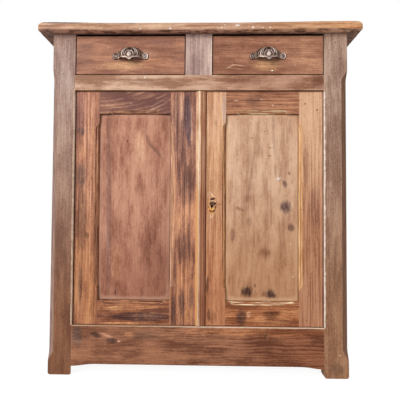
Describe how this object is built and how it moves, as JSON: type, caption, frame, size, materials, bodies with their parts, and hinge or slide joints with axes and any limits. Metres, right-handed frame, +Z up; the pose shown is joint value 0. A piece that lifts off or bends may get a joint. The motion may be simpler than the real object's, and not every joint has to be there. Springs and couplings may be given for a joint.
{
  "type": "jelly cupboard",
  "caption": "Low framed wooden cupboard with drawers over panelled doors, cup pulls and a shelf inside.",
  "frame": {"origin": "on the floor, under the middle of the box that holds the whole cupboard", "axes": "+Z up, the doors and drawers face -Y, +X to the right of someone who faces the doors"},
  "size_m": [0.948, 0.47, 1.037],
  "materials": {
    "top_wood": "stripped softwood, warm brown, waxed",
    "post_wood": "stripped softwood, weathered grey brown",
    "rail_wood": "stripped softwood, tan",
    "apron_wood": "stripped softwood, brown with dark grain",
    "drawer_wood": "stripped softwood, red brown",
    "left_door_wood": "stripped softwood, streaked pink brown",
    "left_panel_wood": "stripped softwood, mottled red brown",
    "right_door_wood": "stripped softwood, pale orange brown",
    "right_panel_wood": "stripped softwood, pale with dark stains",
    "astragal_wood": "stripped softwood moulding, pale arrises",
    "side_wood": "stripped softwood, brown",
    "inner_wood": "raw planed softwood",
    "cast_nickel": "cast and nickel plated, brown in the recesses",
    "ironwork": "dark worn iron",
    "lock_brass": "worn brass"
  },
  "bodies": {
    "carcass": {"top_board": "top_wood", "front_post_left": "post_wood", "front_post_right": "post_wood", "rear_post_left": "post_wood", "rear_post_right": "post_wood", "middle_rail": "rail_wood", "apron_rail": "apron_wood", "drawer_divider": "post_wood", "side_top_rail_left": "side_wood", "side_top_rail_right": "side_wood", "side_bottom_rail_left": "side_wood", "side_bottom_rail_right": "side_wood", "side_panel_left": "side_wood", "side_panel_right": "side_wood", "back_top_rail": "inner_wood", "rear_runner_rail": "inner_wood", "back_bottom_rail": "inner_wood", "back_board_1": "inner_wood", "back_board_2": "inner_wood", "back_board_3": "inner_wood", "back_board_4": "inner_wood", "cabinet_floor": "inner_wood", "shelf": "inner_wood", "shelf_cleat_left": "inner_wood", "shelf_cleat_right": "inner_wood", "drawer_runner_left": "inner_wood", "drawer_runner_middle": "inner_wood", "drawer_runner_right": "inner_wood", "door_stop": "inner_wood"},
    "left_drawer": {"left_drawer_front": "drawer_wood", "left_drawer_side_left": "inner_wood", "left_drawer_side_right": "inner_wood", "left_drawer_back": "inner_wood", "left_drawer_bottom": "inner_wood", "left_drawer_pull": "cast_nickel"},
    "right_drawer": {"right_drawer_front": "drawer_wood", "right_drawer_side_left": "inner_wood", "right_drawer_side_right": "inner_wood", "right_drawer_back": "inner_wood", "right_drawer_bottom": "inner_wood", "right_drawer_pull": "cast_nickel"},
    "left_door": {"left_door_hinge_stile": "left_door_wood", "left_door_meeting_stile": "left_door_wood", "left_door_top_rail": "left_door_wood", "left_door_bottom_rail": "left_door_wood", "left_door_panel": "left_panel_wood", "left_door_astragal": "astragal_wood", "left_door_top_pivot": "ironwork", "left_door_bottom_pivot": "ironwork", "slide_bolt_case": "ironwork"},
    "slide_bolt": {"slide_bolt": "ironwork"},
    "right_door": {"right_door_hinge_stile": "right_door_wood", "right_door_lock_stile": "right_door_wood", "right_door_top_rail": "right_door_wood", "right_door_bottom_rail": "right_door_wood", "right_door_panel": "right_panel_wood", "right_door_top_pivot": "ironwork", "right_door_bottom_pivot": "ironwork", "lock_case": "ironwork"},
    "lock_bolt": {"lock_bolt": "lock_brass"}
  },
  "joints": [
    {"name": "left_drawer_slide", "type": "slide", "parent": "carcass", "child": "left_drawer", "axis": [0, -1, 0], "range_m": [0, 0.3]},
    {"name": "right_drawer_slide", "type": "slide", "parent": "carcass", "child": "right_drawer", "axis": [0, -1, 0], "range_m": [0, 0.3]},
    {"name": "left_door_swing", "type": "hinge", "parent": "carcass", "child": "left_door", "pos_m": [-0.3543, -0.191, 0.4923], "axis": [0, 0, -1], "range_deg": [0, 105]},
    {"name": "right_door_swing", "type": "hinge", "parent": "carcass", "child": "right_door", "pos_m": [0.3543, -0.191, 0.4923], "axis": [0, 0, 1], "range_deg": [0, 105]},
    {"name": "slide_bolt_travel", "type": "slide", "parent": "left_door", "child": "slide_bolt", "axis": [0, 0, 1], "range_m": [0, 0.01]},
    {"name": "lock_bolt_travel", "type": "slide", "parent": "right_door", "child": "lock_bolt", "axis": [-1, 0, 0], "range_m": [0, 0.01]}
  ]
}
